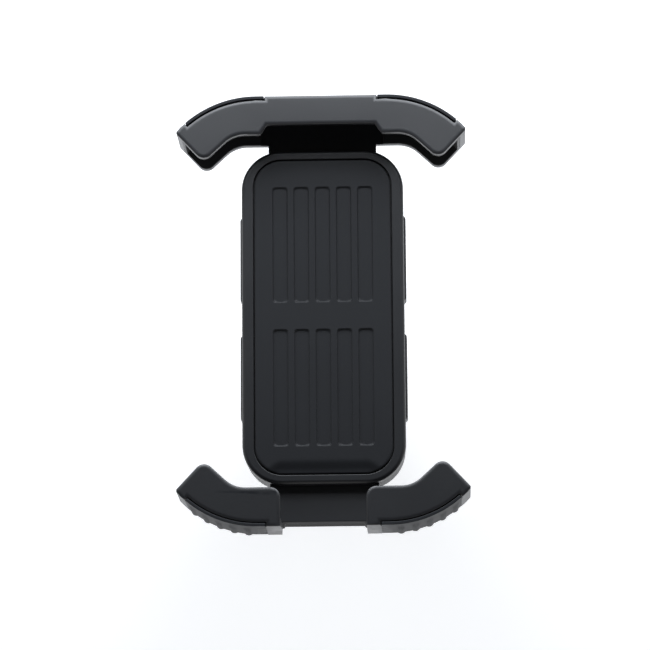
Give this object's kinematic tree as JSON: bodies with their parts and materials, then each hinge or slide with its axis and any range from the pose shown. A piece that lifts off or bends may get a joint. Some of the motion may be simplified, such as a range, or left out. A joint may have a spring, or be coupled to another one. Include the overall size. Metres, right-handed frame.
{
  "type": "phone handlebar mount",
  "caption": "Spring-closing phone cradle with a one-piece jaw, a split hook jaw and a ribbed pad, on a ball joint with a screw clamp for a handlebar.",
  "frame": {"origin": "on the axis of the clamped handlebar, at the middle of the clamp", "axes": "+X along the handlebar, +Y towards the one-piece jaw, +Z out of the phone face; the clamp screw runs along -Z"},
  "size_m": [0.0888, 0.1344, 0.1184],
  "materials": {
    "plate_plastic": "fine satin grain",
    "pad_silicone": "matt moulded silicone with shallow recesses",
    "housing_plastic": "fine spark-eroded grain",
    "jaw_plastic": "fine satin grain",
    "bumper_plastic": "satin, with ridges",
    "liner_silicone": "soft silicone",
    "rack_steel": "stamped and brushed",
    "fastener_steel": "black-oxide screws",
    "brass": "machined",
    "pin_steel": "ground",
    "spring_steel": "spring temper",
    "control_plastic": "satin",
    "socket_plastic": "glass-filled nylon",
    "seat_nylon": "natural nylon",
    "ball_plastic": "fine grain for grip",
    "clamp_plastic": "glass-filled nylon",
    "bar_rubber": "ribbed rubber",
    "cap_plastic": "polished"
  },
  "bodies": {
    "clamp": {"clamp_frame": "clamp_plastic", "saddle_liner": "bar_rubber", "screw_bush": "brass", "ball_stud": "ball_plastic", "stud_screws": "fastener_steel"},
    "pad": {"pressure_pad": "clamp_plastic", "pressure_liner": "bar_rubber", "retaining_pins": "pin_steel"},
    "knob": {"clamp_screw": "pin_steel", "clamp_knob": "control_plastic", "knob_cap": "cap_plastic"},
    "seat": {"ball_seat": "seat_nylon"},
    "cradle": {"rear_housing": "housing_plastic", "front_plate": "plate_plastic", "grip_pad": "pad_silicone", "housing_screws": "fastener_steel", "ball_socket": "socket_plastic", "socket_screws": "fastener_steel", "pinion_axle": "pin_steel", "return_spring": "spring_steel"},
    "collar": {"collar_nut": "control_plastic"},
    "upper": {"upper_jaw": "jaw_plastic", "upper_left_bumper": "bumper_plastic", "upper_right_bumper": "bumper_plastic", "upper_left_liner": "liner_silicone", "upper_right_liner": "liner_silicone", "upper_rack": "rack_steel", "upper_rack_screws": "fastener_steel"},
    "lower": {"lower_jaw": "jaw_plastic", "lower_left_bumper": "bumper_plastic", "lower_right_bumper": "bumper_plastic", "lower_left_liner": "liner_silicone", "lower_right_liner": "liner_silicone", "lower_rack": "rack_steel", "lower_rack_screws": "fastener_steel"},
    "pinion": {"drive_pinion": "brass"},
    "lock": {"lock_cam": "pin_steel", "lock_lever": "control_plastic", "lock_screw": "fastener_steel"}
  },
  "joints": [
    {"name": "pad_clamp", "type": "slide", "parent": "clamp", "child": "pad", "axis": [0, 0, -1], "range_m": [0, 0.009]},
    {"name": "knob_turn", "type": "hinge", "parent": "pad", "child": "knob", "pos_m": [0, 0, -0.04], "axis": [0, 0, -1], "range_deg": [0, 3240]},
    {"name": "cradle_tilt", "type": "hinge", "parent": "clamp", "child": "seat", "pos_m": [0, 0, 0.0326], "axis": [1, 0, 0], "range_deg": [-20, 20]},
    {"name": "cradle_swivel", "type": "hinge", "parent": "seat", "child": "cradle", "pos_m": [0, 0, 0.0326], "axis": [0, 0, 1], "continuous": true},
    {"name": "collar_turn", "type": "hinge", "parent": "cradle", "child": "collar", "pos_m": [0, 0, 0.0326], "axis": [0, 0, 1], "range_deg": [0, 180]},
    {"name": "upper_jaw_slide", "type": "slide", "parent": "cradle", "child": "upper", "axis": [0, 1, 0], "range_m": [0, 0.022], "stiffness_N_per_m": 200, "springref_m": -0.02},
    {"name": "lower_jaw_slide", "type": "slide", "parent": "cradle", "child": "lower", "axis": [0, -1, 0], "range_m": [0, 0.022]},
    {"name": "pinion_turn", "type": "hinge", "parent": "cradle", "child": "pinion", "pos_m": [0, 0, 0.046], "axis": [0, 0, -1], "range_deg": [-5, 240]},
    {"name": "lock_turn", "type": "hinge", "parent": "cradle", "child": "lock", "pos_m": [-0.0168, 0.02, 0.0434], "axis": [0, 0, 1], "range_deg": [0, 90]}
  ],
  "couplings": [
    {"joint": "pad_clamp", "follows": "knob_turn", "m_per_rad": 0.00015915},
    {"joint": "lower_jaw_slide", "follows": "upper_jaw_slide", "ratio": 1},
    {"joint": "pinion_turn", "follows": "upper_jaw_slide", "rad_per_m": 166.67}
  ]
}
